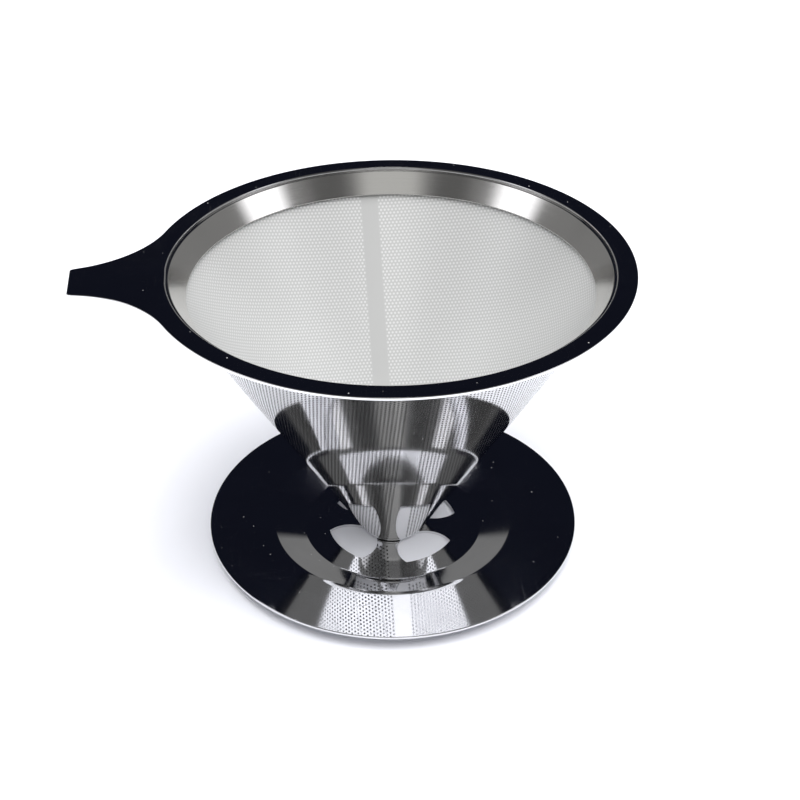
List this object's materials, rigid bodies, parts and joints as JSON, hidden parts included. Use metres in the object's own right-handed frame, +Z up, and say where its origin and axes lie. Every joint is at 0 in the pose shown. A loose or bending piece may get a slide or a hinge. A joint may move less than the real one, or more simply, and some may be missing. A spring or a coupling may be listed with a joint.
{
  "type": "pour over dripper",
  "caption": "Stainless pour over dripper: a mesh-lined perforated cone hung in a flat brim with a tab handle, fixed to a round drain stand.",
  "frame": {"origin": "centre of the underside of the stand's floor, on the cone's axis", "axes": "+Z up along the cone's axis, the handle points along -X"},
  "size_m": [0.1437, 0.125, 0.0857],
  "materials": {
    "polished_steel": "mirror polished stainless sheet with fine scratches",
    "collar_steel": "polished stainless with fine turning lines",
    "woven_mesh": "fine woven stainless filter cloth",
    "perforated_steel": "polished stainless sheet with fine round holes"
  },
  "bodies": {
    "root": {"rim_plate": "polished_steel", "collar_band": "collar_steel", "under_rim_ring": "polished_steel", "mesh_cone": "woven_mesh", "outer_cone": "perforated_steel", "foot_ring": "polished_steel", "bottom_cap": "polished_steel", "centre_rivet": "polished_steel", "stand_plate": "polished_steel"}
  },
  "joints": []
}
